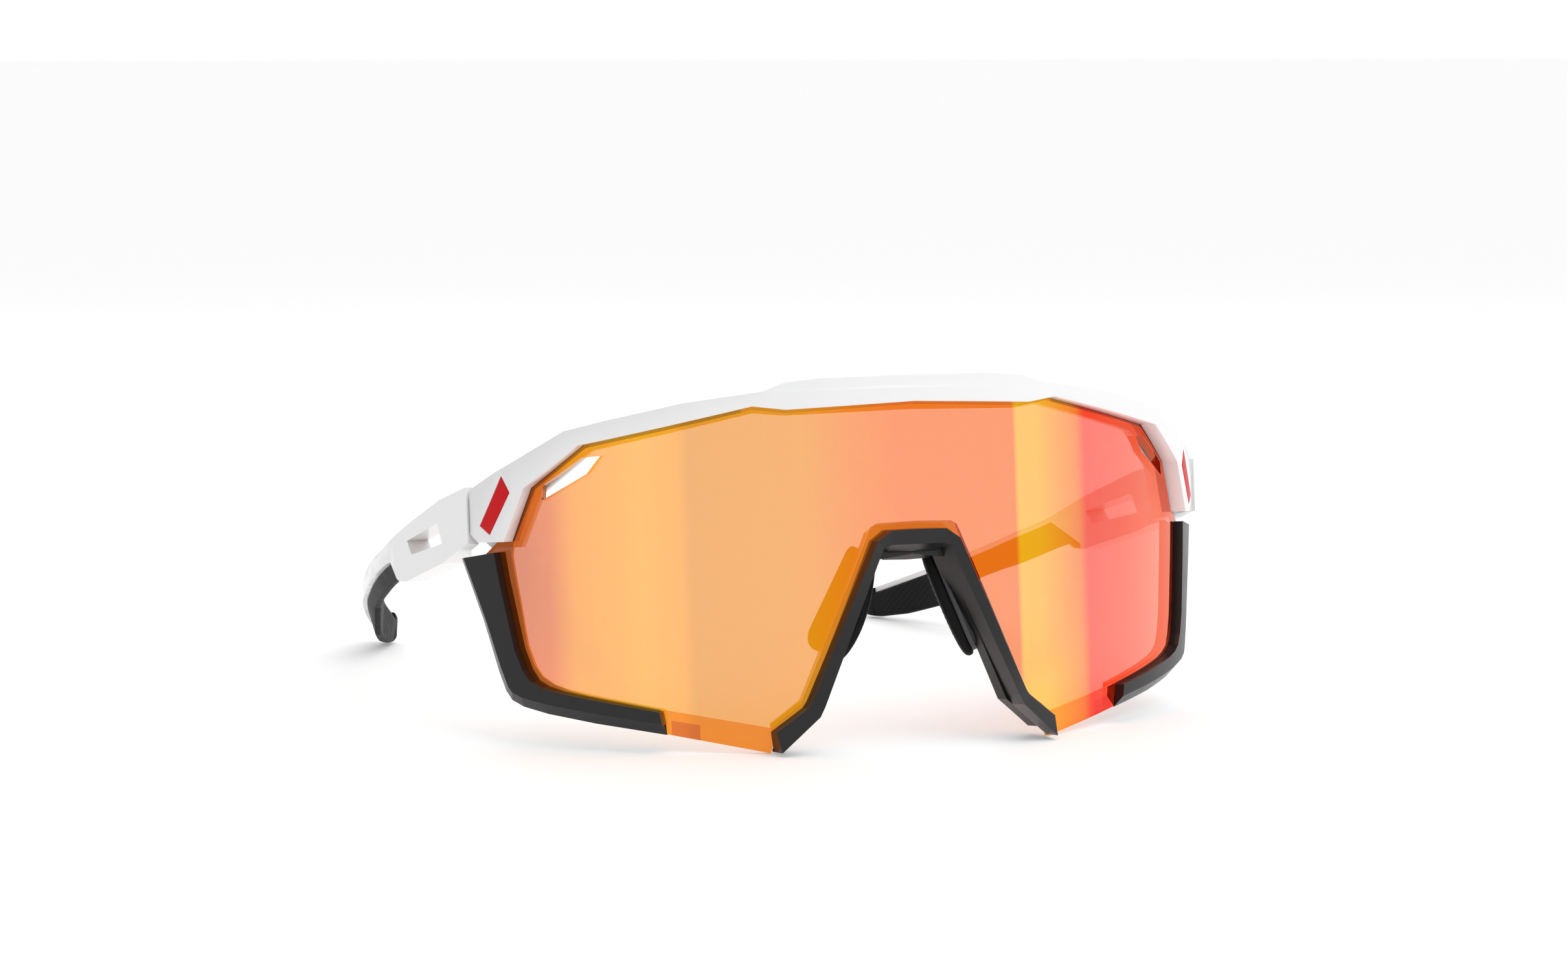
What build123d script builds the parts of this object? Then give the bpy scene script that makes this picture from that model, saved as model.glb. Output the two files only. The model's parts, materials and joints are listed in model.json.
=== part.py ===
from build123d import *
from math import cos, degrees, radians, sin
import os

os.makedirs("parts", exist_ok=True)

# ---- driving dimensions, mm -------------------------------------------------
# The wear frame: X across the face, depth back along the head, height up the lens axis.
TILT = 5.716  # lean of the wear frame when the glasses stand on lens corners and arm tips

LENS_RADIUS = 86.45  # front face of the lens, a cylinder about an upright axis
# Offsets below are measured from the front face of the lens, positive towards the front.
CENTRE_FRONT = -0.5
CENTRE_REAR = -2.6
MARGIN_FRONT = -1.0  # thinner clipping margin round the centre zone
MARGIN_REAR = -2.3
TAB_REAR = -3.2
TAB_SINK = 0.2  # overlap of the tab with the lens behind it
MIDDLE = (MARGIN_FRONT + MARGIN_REAR) / 2  # where the halves of a channel meet
FIT_GAP = 0.1  # clearance round the lens in every channel

LIP_FRONT = 2.2
LIP_REAR = -4.2
CROWN_BEVEL_DROP = 2.3
CROWN_BEVEL_DEPTH = 2.6
CROWN_TOP = 66.6
BADGE_DEPTH = 0.3
BADGE_RISE = 0.05
BADGE_GAP = 0.05

RIM_FRONT = 0.9
RIM_REAR = -3.6
RIM_BEVEL_DEPTH = 1.9  # sloping outer facet of the rim
RIM_BEVEL_WIDTH = 1.9
BACK_STEP = 0.3  # the rim reaches this much further in behind the lens

NOSE_REAR = -5.0

BROW_END = 70.3  # X of the brow frame's ends
BROW_END_DEPTH = LENS_RADIUS - (LENS_RADIUS**2 - BROW_END**2) ** 0.5
HINGE_X = 67.3
HINGE_BEHIND = 4.8641  # hinge axis behind the brow frame's end
HINGE_DEPTH = BROW_END_DEPTH + HINGE_BEHIND
LUG_RADIUS = 2.2
LUG_FOOT = 5.5  # length of the lugs in front of the hinge axis
LUG_LOWER = (40.0, 41.7)  # bottom and top heights
LUG_UPPER = (46.9, 48.6)
KNUCKLE = (41.9, 46.7)
KNUCKLE_REACH = 4.5
KNUCKLE_SINK = 0.5  # overlap of the knuckle with the arm wall
KNUCKLE_STEP = 0.1  # its web starts this far behind the front of its barrel
SCREW_RADIUS = 0.7
SCREW_GAP = 0.04
BUSH_RADIUS = 1.3
HEAD_RADIUS = 1.25
HEAD_HEIGHT = 0.6
SLOT_WIDTH = 0.3
SLOT_DEPTH = 0.25

ARM_OUTER = 72.6
ARM_THICK = 4.2
ARM_WALL = 2.6  # thinner wall beside the hinge barrel
THIN_UNTIL = 3.0  # the thin wall ends this far behind the hinge
THICK_FROM = 6.0  # and the arm is at its full thickness from here
FRONT_SLANT = 0.72  # the arm's front end slants back by this share of its wall
ARM_LEAD = 6.0  # the arm's outer front corner stands this far in front of the hinge
ARM_FRONT = HINGE_DEPTH - ARM_LEAD
ARM_STRAIGHT = 45.0  # from the hinge to the start of the bend
ARM_STRAIGHT_END = HINGE_DEPTH + ARM_STRAIGHT
ARM_BEND_RADIUS = 188.0
ARM_BEND_ANGLE = 23.7
BEND_X = ARM_OUTER - ARM_BEND_RADIUS
ARM_INNER = ARM_OUTER - ARM_THICK
SPINE_END_ANGLE = 22.4
SPINE_THICK = 1.7  # white spine left along the outer side of the sleeve
SLEEVE_LEAD = 12.0  # how far in front of the bend the sleeve may reach
SLEEVE_INSET = 0.8  # sleeve stands back from the spine's outer face
TIP_INSET = 0.3
PAST_TIP = 29.0  # angle of the bend beyond the end of the arm
SLEEVE_GAP = 0.05
CORE_RADIUS = 0.6
CORE_INWARD = 3.05  # core lies this far in from the arm's outer face
CORE_START = (37.0, 35.9)  # distance behind the hinge and height
CORE_FALL = 0.215  # drop in height per depth
CORE_ANGLES = (0, 4, 8, 12, 16)  # points of the core along the bend
CORE_STEP = 4.0  # and between the two points in front of it
REACH = 200.0  # longer than anything it cuts
OVERRUN = 1.0  # how far a cutting piece passes the face it cuts
ARM_TALL = 60.0  # height of the arm blank before its outline is cut
INWARD = 9.0  # distance inward that clears the arm's inner face
OUTWARD = -5.0  # the same past its outer face
SLAB_LOW = -30.0  # bottom and height of the cylinder that shapes each curved piece
SLAB_TALL = 130.0
FRONT_ROOM = 10.0  # distance in front of the lens that clears every piece

PAD_CENTRE = (10.8, 8.2, 26.0)
PAD_UP = Vector(-0.389, 0, 0.921)
PAD_BACK = Vector(0.389, 0.906, 0.164)
PAD_LOBE = (-6.6, 0.0, 4.1)  # along the pad, across it and radius of its lower lobe
PAD_TOP = (8.6, -0.4, 2.3)  # the same for its upper end
PAD_THICK = 2.4
PLATE_THICK = 0.8
PAD_ROOM = 3.0  # space kept clear in front of each pad
PLATE_TRIM = 0.7
WING_THICK = 3.2
WING_TRIM = 0.9

# ---- work planes ------------------------------------------------------------
wear = Plane(
    origin=(0, 0, 0),
    x_dir=(1, 0, 0),
    z_dir=(0, sin(radians(TILT)), cos(radians(TILT))),
)
front_view = Plane(origin=wear.origin, x_dir=wear.x_dir, z_dir=-wear.y_dir)
side_view = Plane(origin=wear.origin, x_dir=wear.y_dir, z_dir=wear.x_dir)

# ---- outlines on the front face of the lens: (X, height) for X >= 0 ----------
brow_outer = [
    (0, 66.6), (16.6, 66.4), (22.6, 65.9), (26.6, 64.4), (39.5, 62.8), (51.3, 60.2),
    (57.3, 58.6), (62.9, 54.6), (67.0, 51.6), (69.7, 49.2), (BROW_END, 48.0),
    (BROW_END, 40.6), (69.4, 39.2), (66.1, 39.2),
]  # fmt: skip
brow_inner = [(66.0, 39.2), (63.1, 48.7), (55.3, 56.0), (28.5, 61.8), (22.9, 61.0), (0, 61.8)]
rear_outer = brow_outer[:11] + [(BROW_END, 39.4), (69.3, 38.1), (66.9, 38.1)]
rear_inner = [(65.6, 38.1), (62.3, 47.8), (54.6, 55.0), (28.5, 60.6), (22.9, 60.0), (0, 60.4)]
lens_top = [
    (0, 63.5), (22.9, 62.8), (28.7, 63.4), (56.2, 57.5), (64.9, 49.5), (67.8, 39.6),
]  # fmt: skip
lens_side = [(69.8, 37.0), (65.2, 12.9), (62.4, 10.2), (44.3, 6.0), (44.1, 4.3)]
lens_nose = [(27.3, 0.4), (26.5, 3.0), (20.4, 7.7), (6.4, 37.2), (0, 37.6)]
lens_outer = lens_top + lens_side + lens_nose
centre_zone = [
    (0, 61.3), (22.7, 60.4), (28.5, 61.2), (54.9, 55.5), (62.4, 48.5), (65.7, 39.0),
    (66.0, 36.5), (64.3, 20.6), (63.5, 17.2), (62.4, 15.0), (60.7, 13.5), (58.4, 12.4),
    (55.7, 11.5), (43.7, 8.5), (27.2, 4.9), (22.1, 8.7), (8.4, 39.6), (7.2, 40.3), (0, 40.5),
]  # fmt: skip
vent_slot = [(61.6, 46.4), (61.4, 49.0), (55.5, 53.8), (52.8, 54.0), (54.9, 50.9)]
rim_outer = [
    (73.0, 36.2), (70.4, 25.1), (68.6, 16.0), (67.7, 12.4), (66.9, 10.7), (65.3, 9.5),
    (61.9, 8.2), (54.9, 6.4), (44.2, 4.2),
]  # fmt: skip
rim_inner = [
    (67.9, 37.3), (67.3, 31.9), (65.6, 19.9), (64.6, 16.2), (63.6, 14.1), (62.2, 13.0),
    (60.0, 12.1), (54.9, 10.7), (44.9, 8.3),
]  # fmt: skip
flange_outer = [(0, 40.1), (6.2, 39.9), (8.3, 38.6), (21.7, 9.4), (27.2, 5.4), (27.0, 2.2)]
flange_inner = [(25.8, 2.1), (18.8, 7.5), (6.6, 33.8), (0, 34.6)]
# Stations along the nose bridge: outer edge (X, height), inward direction (X, height),
# then depths of the outer edge, ridge and back, and distances in to the ridge and the back.
nose_stations = [
    ((0, 39.1), (0, -1), (-2.0, -0.6, 5.0), (2.7, 5.6)),
    ((5.2, 39.0), (-0.12, -0.993), (-1.8, -0.6, 5.2), (2.6, 5.4)),
    ((7.9, 37.2), (-0.78, -0.626), (-1.6, -0.6, 5.4), (1.9, 3.9)),
    ((20.6, 9.4), (-0.91, -0.415), (0.5, -0.84, 4.9), (2.1, 2.5)),
    ((21.4, 8.2), (-0.75, -0.661), (0.7, -0.8, 4.9), (2.3, 2.5)),
    ((26.9, 4.2), (-0.1, -0.995), (2.3, 0.55, 5.8), (3.6, 3.6)),
]  # fmt: skip
tab_outline = [(42.9, 6.7), (38.4, 5.8), (38.4, 3.3), (42.9, 4.4)]
badge_outline = [(66.0, 50.9), (65.0, 48.0), (67.8, 40.6), (69.0, 42.2)]

# ---- arm outlines in the side view: (distance behind the hinge, height) ---------------------------
arm_top = [
    (-11, 49.2), (-5, 49.1), (12, 46.8), (33, 42.4), (43, 40.0), (53, 37.3), (69, 33.9),
    (84.5, 30.0), (98, 26.7), (114.8, 22.3), (119, 21.0), (120.4, 19.8),
]  # fmt: skip
arm_bottom = [
    (120.6, 18.4), (119.8, 17.0), (117.8, 16.1), (114.6, 15.8), (107, 16.5), (97, 18.4),
    (90.5, 21.2), (83.5, 24.5), (76, 26.2), (67.5, 27.8), (57, 30.1), (45.5, 32.4),
    (43.2, 31.6), (41.7, 31.2), (36.6, 31.2), (33, 31.8), (11, 35.2), (-5, 39.0), (-11, 39.2),
]  # fmt: skip
# Lower edge of the white spine on the outer side, and on the inner side under its cap.
spine_low = [
    (43.6, 31.8), (47.6, 34.6), (51.2, 34.2), (62, 31.9), (81, 27.4), (102, 23.4),
    (111, 21.2), (134, 15.5),
]  # fmt: skip
cap_low = [
    (38, 32.3), (51.7, 36.5), (69, 32.8), (84.5, 28.9), (98, 25.6), (114.8, 21.2), (134, 16.1),
]  # fmt: skip
SLEEVE_END = 134.0  # distance beyond the arm where either line is closed
window = [(11, 38.8), (13.6, 42.5), (35, 39.0), (32.2, 36.4)]


def behind_hinge(outline):
    """Outline in the side view, moved from the hinge axis to its depth."""
    return [(distance + HINGE_DEPTH, height) for distance, height in outline]


def both_sides(half):
    """Whole outline from the half with X >= 0, listed from the top centre downwards."""
    return half + [(-x, h) for x, h in reversed(half) if x > 0]


def grown(outline, amount):
    """Closed outline moved outwards by an amount, with its corners kept sharp."""
    count = len(outline)
    pairs = [(outline[i], outline[(i + 1) % count]) for i in range(count)]
    turn = 1 if sum(a[0] * b[1] - b[0] * a[1] for a, b in pairs) > 0 else -1
    moved = []
    for i in range(count):
        before = Vector(*pairs[i - 1][1]) - Vector(*pairs[i - 1][0])
        after = Vector(*pairs[i][1]) - Vector(*pairs[i][0])
        out_before = before.normalized().rotate(Axis.Z, -90 * turn)
        out_after = after.normalized().rotate(Axis.Z, -90 * turn)
        corner = (out_before + out_after) / (1 + out_before.dot(out_after))
        moved.append((outline[i][0] + corner.X * amount, outline[i][1] + corner.Y * amount))
    return moved


def patch(outline, level, grow=0.0):
    """Face of the lens cylinder moved out by level, inside an outline of its front face."""
    ratio = (LENS_RADIUS + level) / LENS_RADIUS
    if grow:
        outline = grown(outline, grow)
    with BuildPart() as slab:
        with BuildSketch(front_view.offset(FRONT_ROOM)):
            with BuildLine():
                Polyline(*[(x * ratio, h) for x, h in outline], close=True)
            make_face()
        extrude(amount=-LENS_RADIUS)
        with BuildSketch(wear.offset(SLAB_LOW)):
            with Locations((0, LENS_RADIUS)):
                Circle(LENS_RADIUS + level)
        extrude(amount=SLAB_TALL, mode=Mode.INTERSECT)
    return slab.faces().filter_by(GeomType.CYLINDER).sort_by(Axis.Y)[0]


def panel(outline, rear, front, grow=0.0):
    """Curved panel between two levels, with side walls square to the lens face."""
    face = patch(outline, rear, grow)
    with BuildPart() as piece:
        thicken(face, amount=front - rear)
    return piece.part


def prism(outline, plane, depth):
    """Straight prism through a work plane, the same length on both of its sides."""
    with BuildPart() as piece:
        with BuildSketch(plane):
            with BuildLine():
                Polyline(*outline, close=True)
            make_face()
        extrude(amount=depth, both=True)
    return piece.part


def disc(x, depth, radius, low, high):
    """Upright cylinder in the wear frame."""
    with BuildPart() as piece:
        with BuildSketch(wear.offset(low)):
            with Locations((x, depth)):
                Circle(radius)
        extrude(amount=high - low)
    return piece.part


def block(points, low, high):
    """Upright prism in the wear frame from a plan outline of (X, depth) points."""
    with BuildPart() as piece:
        with BuildSketch(wear.offset(low)):
            with BuildLine():
                Polyline(*points, close=True)
            make_face()
        extrude(amount=high - low)
    return piece.part


# ---- lens ---------------------------------------------------------------------
margin = panel(both_sides(lens_outer), MARGIN_REAR, MARGIN_FRONT)
centre = panel(both_sides(centre_zone), CENTRE_REAR, CENTRE_FRONT)
slot = panel(vent_slot, CENTRE_REAR - OVERRUN, CENTRE_FRONT + OVERRUN)
tab = panel(tab_outline, TAB_REAR, MARGIN_REAR + TAB_SINK)
with BuildPart() as shield_lens:
    add(margin)
    add(centre)
    add(tab)
    mirror(tab, about=Plane.YZ)
    add(slot, mode=Mode.SUBTRACT)
    mirror(slot, about=Plane.YZ, mode=Mode.SUBTRACT)

# Room for the lens in every channel: its margin and centre zone, grown by the fit gap.
margin_room = panel(both_sides(lens_outer), MARGIN_REAR - FIT_GAP, MARGIN_FRONT + FIT_GAP, FIT_GAP)
centre_room = panel(both_sides(centre_zone), CENTRE_REAR - FIT_GAP, CENTRE_FRONT + FIT_GAP, FIT_GAP)

# ---- brow frame ------------------------------------------------------------------
brow_front = panel(both_sides(brow_outer + brow_inner), MIDDLE, LIP_FRONT)
brow_rear = panel(both_sides(rear_outer + rear_inner), LIP_REAR, MIDDLE)
slope = [
    (-LIP_FRONT - CROWN_BEVEL_DEPTH, CROWN_TOP - 2 * CROWN_BEVEL_DROP),
    (-LIP_FRONT + 2 * CROWN_BEVEL_DEPTH, CROWN_TOP + CROWN_BEVEL_DROP),
    (-LIP_FRONT - FRONT_ROOM, CROWN_TOP + CROWN_BEVEL_DROP),
    (-LIP_FRONT - FRONT_ROOM, CROWN_TOP - 2 * CROWN_BEVEL_DROP),
]
lens_axis = Axis(wear.from_local_coords((0, LENS_RADIUS, 0)), wear.z_dir)
with BuildPart() as crown_cut:
    with BuildSketch(side_view):
        with BuildLine():
            Polyline(*slope, close=True)
        make_face()
    revolve(axis=lens_axis)

lug_plan = [
    (HINGE_X - LUG_RADIUS, HINGE_DEPTH - LUG_FOOT),
    (HINGE_X + LUG_RADIUS, HINGE_DEPTH - LUG_FOOT),
    (HINGE_X + LUG_RADIUS, HINGE_DEPTH),
    (HINGE_X - LUG_RADIUS, HINGE_DEPTH),
]
badge_room = panel(badge_outline, LIP_FRONT - BADGE_DEPTH, LIP_FRONT + OVERRUN, BADGE_GAP)
screw_hole = disc(
    HINGE_X, HINGE_DEPTH, SCREW_RADIUS + SCREW_GAP, LUG_LOWER[0] - OVERRUN, LUG_UPPER[1] + OVERRUN
)
head_hole = disc(
    HINGE_X, HINGE_DEPTH, HEAD_RADIUS + SCREW_GAP, LUG_UPPER[1] - HEAD_HEIGHT, LUG_UPPER[1] + OVERRUN
)
with BuildPart() as lugs:
    for low, high in (LUG_LOWER, LUG_UPPER):
        add(block(lug_plan, low, high))
        add(disc(HINGE_X, HINGE_DEPTH, LUG_RADIUS, low, high))
with BuildPart() as brow_frame:
    add(brow_front)
    add(brow_rear)
    add(crown_cut.part, mode=Mode.SUBTRACT)
    add(lugs.part)
    mirror(lugs.part, about=Plane.YZ)
    add(margin_room, mode=Mode.SUBTRACT)
    add(centre_room, mode=Mode.SUBTRACT)
    for tool in (screw_hole, head_hole, badge_room):
        add(tool, mode=Mode.SUBTRACT)
        mirror(tool, about=Plane.YZ, mode=Mode.SUBTRACT)

badge_panel = panel(badge_outline, LIP_FRONT - BADGE_DEPTH, LIP_FRONT + BADGE_RISE)
with BuildPart() as badge_right:
    add(badge_panel)
with BuildPart() as badge_left:
    mirror(badge_panel, about=Plane.YZ)

# ---- hinge screw and bush ------------------------------------------------------------
with BuildPart() as hinge_screw_right:
    add(disc(HINGE_X, HINGE_DEPTH, SCREW_RADIUS, LUG_LOWER[0], LUG_UPPER[1] - HEAD_HEIGHT))
    add(disc(HINGE_X, HINGE_DEPTH, HEAD_RADIUS, LUG_UPPER[1] - HEAD_HEIGHT, LUG_UPPER[1]))
    with BuildSketch(wear.offset(LUG_UPPER[1])):
        with Locations((HINGE_X, HINGE_DEPTH)):
            Rectangle(2 * HEAD_RADIUS + OVERRUN, SLOT_WIDTH)
    extrude(amount=-SLOT_DEPTH, mode=Mode.SUBTRACT)
with BuildPart() as hinge_screw_left:
    mirror(hinge_screw_right.part, about=Plane.YZ)
with BuildPart() as hinge_bush_right:
    add(disc(HINGE_X, HINGE_DEPTH, BUSH_RADIUS, *KNUCKLE))
    add(screw_hole, mode=Mode.SUBTRACT)
with BuildPart() as hinge_bush_left:
    mirror(hinge_bush_right.part, about=Plane.YZ)

# ---- arm, sleeve and core ------------------------------------------------------------

def on_bend(inward, angle):
    """Point (X, depth) a distance inward from the arm's outer face, at an angle of the bend."""
    radius = ARM_BEND_RADIUS - inward
    return (BEND_X + radius * cos(radians(angle)), ARM_STRAIGHT_END + radius * sin(radians(angle)))


with BuildPart() as arm_blank:
    with BuildSketch(wear):
        with BuildLine():
            Line((ARM_OUTER, ARM_FRONT), (ARM_OUTER, ARM_STRAIGHT_END))
            CenterArc((BEND_X, ARM_STRAIGHT_END), ARM_BEND_RADIUS, 0, ARM_BEND_ANGLE)
            Line(on_bend(0, ARM_BEND_ANGLE), on_bend(ARM_THICK, ARM_BEND_ANGLE))
            CenterArc((BEND_X, ARM_STRAIGHT_END), ARM_BEND_RADIUS - ARM_THICK, 0, ARM_BEND_ANGLE)
            Polyline(
                (ARM_INNER, ARM_STRAIGHT_END),
                (ARM_INNER, HINGE_DEPTH + THICK_FROM),
                (ARM_OUTER - ARM_WALL, HINGE_DEPTH + THIN_UNTIL),
                (ARM_OUTER - ARM_WALL, ARM_FRONT + FRONT_SLANT * ARM_WALL),
                (ARM_OUTER, ARM_FRONT),
            )
        make_face()
    extrude(amount=ARM_TALL)
    add(prism(behind_hinge(arm_top + arm_bottom), side_view, REACH), mode=Mode.INTERSECT)


def band(near, far, first=0.0):
    """Upright wall between two distances inward of the arm's outer face, past a first angle."""
    with BuildPart() as wall:
        with BuildSketch(wear):
            with BuildLine():
                CenterArc((BEND_X, ARM_STRAIGHT_END), ARM_BEND_RADIUS - near, first, PAST_TIP - first)
                Line(on_bend(near, PAST_TIP), on_bend(far, PAST_TIP))
                CenterArc((BEND_X, ARM_STRAIGHT_END), ARM_BEND_RADIUS - far, first, PAST_TIP - first)
                Line(on_bend(near, first), on_bend(far, first))
            make_face()
        if not first:
            with BuildSketch(wear):
                with Locations((ARM_OUTER - (near + far) / 2, ARM_STRAIGHT_END - SLEEVE_LEAD / 2)):
                    Rectangle(far - near, SLEEVE_LEAD)
        extrude(amount=ARM_TALL)
    return wall.part


def sleeve_zone(gap, inset, tip_inset):
    """Space under and inside the white spine that belongs to the soft sleeve."""
    under, beside = (
        [(d + gap * (i == 0), h - gap) for i, (d, h) in enumerate(line)]
        + [(SLEEVE_END, 0), (line[0][0] + gap, 0)]
        for line in (spine_low, cap_low)
    )
    with BuildPart() as lower:
        add(band(inset, INWARD))
        add(prism(behind_hinge(under), side_view, REACH), mode=Mode.INTERSECT)
    with BuildPart() as inner:
        add(band(SPINE_THICK + gap, INWARD))
        add(prism(behind_hinge(beside), side_view, REACH), mode=Mode.INTERSECT)
    with BuildPart() as whole:
        add(lower.part)
        add(inner.part)
        add(band(tip_inset, INWARD, SPINE_END_ANGLE + degrees(gap / ARM_BEND_RADIUS)))
    return whole.part


core_depth = HINGE_DEPTH + CORE_START[0]
core_points = [(ARM_OUTER - CORE_INWARD, core_depth + step) for step in (0, CORE_STEP)]
core_points += [on_bend(CORE_INWARD, angle) for angle in CORE_ANGLES]
core_points = [(x, d, CORE_START[1] - CORE_FALL * (d - core_depth)) for x, d in core_points]


def core_rod(radius):
    path = Spline(*[wear.from_local_coords(p) for p in core_points])
    with BuildPart() as rod:
        with BuildSketch(Plane(origin=path @ 0, z_dir=path % 0)):
            Circle(radius)
        sweep(path=path)
    return rod.part


knuckle_plan = [
    (HINGE_X, HINGE_DEPTH - LUG_RADIUS + KNUCKLE_STEP),
    (ARM_OUTER - ARM_WALL + KNUCKLE_SINK, HINGE_DEPTH - LUG_RADIUS + KNUCKLE_STEP),
    (ARM_OUTER - ARM_WALL + KNUCKLE_SINK, HINGE_DEPTH + KNUCKLE_REACH),
    (HINGE_X, HINGE_DEPTH + LUG_RADIUS),
]
sleeve_room = sleeve_zone(0, OUTWARD, OUTWARD)
core_room = core_rod(CORE_RADIUS + SLEEVE_GAP)
with BuildPart() as temple_right:
    add(arm_blank.part)
    add(sleeve_room, mode=Mode.SUBTRACT)
    add(prism(behind_hinge(window), side_view, REACH), mode=Mode.SUBTRACT)
    add(disc(HINGE_X, HINGE_DEPTH, LUG_RADIUS, *KNUCKLE))
    add(block(knuckle_plan, *KNUCKLE))
    add(disc(HINGE_X, HINGE_DEPTH, BUSH_RADIUS, *KNUCKLE), mode=Mode.SUBTRACT)
    add(core_room, mode=Mode.SUBTRACT)
with BuildPart() as temple_left:
    mirror(temple_right.part, about=Plane.YZ)
sleeve_shape = sleeve_zone(SLEEVE_GAP, SLEEVE_INSET, TIP_INSET)
with BuildPart() as temple_sleeve_right:
    add(arm_blank.part)
    add(sleeve_shape, mode=Mode.INTERSECT)
    add(core_room, mode=Mode.SUBTRACT)
with BuildPart() as temple_sleeve_left:
    mirror(temple_sleeve_right.part, about=Plane.YZ)
core = core_rod(CORE_RADIUS)
with BuildPart() as temple_core_right:
    add(core)
with BuildPart() as temple_core_left:
    mirror(core, about=Plane.YZ)

# ---- lower rims ------------------------------------------------------------------------
rim_front = panel(rim_outer + rim_inner[::-1], MIDDLE, RIM_FRONT)
rim_back = panel(rim_outer + [(x - BACK_STEP, h + BACK_STEP) for x, h in rim_inner[::-1]], RIM_REAR, MIDDLE)


def on_rim_edge(start, end):
    """Point of the rim's outer front edge, half way between two corners of its outline."""
    radius = LENS_RADIUS + RIM_FRONT
    side = (start[0] + end[0]) / 2 * radius / LENS_RADIUS
    back = LENS_RADIUS - (radius**2 - side**2) ** 0.5
    return wear.from_local_coords(Vector(side, back, (start[1] + end[1]) / 2))


with BuildPart() as lower_rim_right:
    add(rim_front)
    rim_face = lower_rim_right.faces().filter_by(GeomType.CYLINDER).sort_by(Axis.Y)[0]
    bevel_points = [on_rim_edge(*ends) for ends in zip(rim_outer, rim_outer[1:])]
    bevel_edges = [rim_face.edges().sort_by_distance(point)[0] for point in bevel_points]
    chamfer(bevel_edges, RIM_BEVEL_DEPTH, RIM_BEVEL_WIDTH, reference=rim_face)
    add(rim_back)
    add(margin_room, mode=Mode.SUBTRACT)
    add(centre_room, mode=Mode.SUBTRACT)
with BuildPart() as lower_rim_left:
    mirror(lower_rim_right.part, about=Plane.YZ)

# ---- nose bridge -----------------------------------------------------------------------
def nose_section(station):
    """Cross-section face of the nose bridge, in the upright plane of its mitre line."""
    (x, height), (dx, dh), depths, across = station
    edge, ridge, back = depths
    corners = [(0, edge), (across[0], ridge), (across[1], back), (0, back)]
    points = [wear.from_local_coords((x + dx * s, d, height + dh * s)) for s, d in corners]
    return Face(Wire.make_polygon(points, close=True))


sections = [nose_section(station) for station in nose_stations]
flange = panel(both_sides(flange_outer + flange_inner), NOSE_REAR, MARGIN_REAR)
with BuildPart() as nose_arch:
    loft(sections, ruled=True)

# The soft pads lie on sloping planes behind the legs.
pad_plane = Plane(
    origin=wear.from_local_coords(PAD_CENTRE),
    x_dir=wear.from_local_coords(PAD_UP),
    z_dir=wear.from_local_coords(PAD_UP.cross(PAD_BACK)),
)


def leaf(low, high, trim):
    """Teardrop slab on the pad plane between two levels, with its outline drawn in by trim."""
    with BuildPart() as slab:
        with BuildSketch(pad_plane.offset(low)):
            for along, across, radius in (PAD_LOBE, PAD_TOP):
                with Locations((along, across)):
                    Circle(radius - trim)
            make_hull()
        extrude(amount=high - low)
    return slab.part


pad = leaf(PLATE_THICK, PLATE_THICK + PAD_THICK, 0)
plate = leaf(0, PLATE_THICK, PLATE_TRIM)
wing = leaf(-WING_THICK, 0, WING_TRIM)
pad_room = leaf(0, PLATE_THICK + PAD_THICK + PAD_ROOM, -FIT_GAP)
with BuildPart() as nose_bridge:
    add(nose_arch.part)
    mirror(nose_arch.part, about=Plane.YZ)
    add(flange)
    add(wing)
    mirror(wing, about=Plane.YZ)
    add(margin_room, mode=Mode.SUBTRACT)
    add(centre_room, mode=Mode.SUBTRACT)
    add(pad_room, mode=Mode.SUBTRACT)
    mirror(pad_room, about=Plane.YZ, mode=Mode.SUBTRACT)
with BuildPart() as nose_pad_right:
    add(pad)
with BuildPart() as nose_pad_left:
    mirror(pad, about=Plane.YZ)
with BuildPart() as nose_pad_plate_right:
    add(plate)
with BuildPart() as nose_pad_plate_left:
    mirror(plate, about=Plane.YZ)

# ---- hand over ---------------------------------------------------------------------------
pieces = {
    "brow_frame": brow_frame,
    "shield_lens": shield_lens,
    "lower_rim_right": lower_rim_right,
    "lower_rim_left": lower_rim_left,
    "nose_bridge": nose_bridge,
    "nose_pad_right": nose_pad_right,
    "nose_pad_left": nose_pad_left,
    "nose_pad_plate_right": nose_pad_plate_right,
    "nose_pad_plate_left": nose_pad_plate_left,
    "temple_right": temple_right,
    "temple_left": temple_left,
    "temple_sleeve_right": temple_sleeve_right,
    "temple_sleeve_left": temple_sleeve_left,
    "temple_core_right": temple_core_right,
    "temple_core_left": temple_core_left,
    "hinge_screw_right": hinge_screw_right,
    "hinge_screw_left": hinge_screw_left,
    "hinge_bush_right": hinge_bush_right,
    "hinge_bush_left": hinge_bush_left,
    "badge_right": badge_right,
    "badge_left": badge_left,
}
boxes = [piece.part.bounding_box() for piece in pieces.values()]
middle_y = (min(box.min.Y for box in boxes) + max(box.max.Y for box in boxes)) / 2
home = Vector(0, -middle_y, -min(box.min.Z for box in boxes))
for name, piece in pieces.items():
    placed = piece.part.moved(Location(home))
    placed.label = name
    print(name, len(placed.solids()), round(placed.volume, 2), placed.is_valid)
    export_step(placed, f"parts/{name}.step")
print("home", home)
hinge = home + wear.from_local_coords(Vector(HINGE_X, HINGE_DEPTH, KNUCKLE[0]))
print("hinge", hinge, "axis", wear.z_dir)
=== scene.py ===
"""Wraparound sport sunglasses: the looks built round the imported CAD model."""

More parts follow.
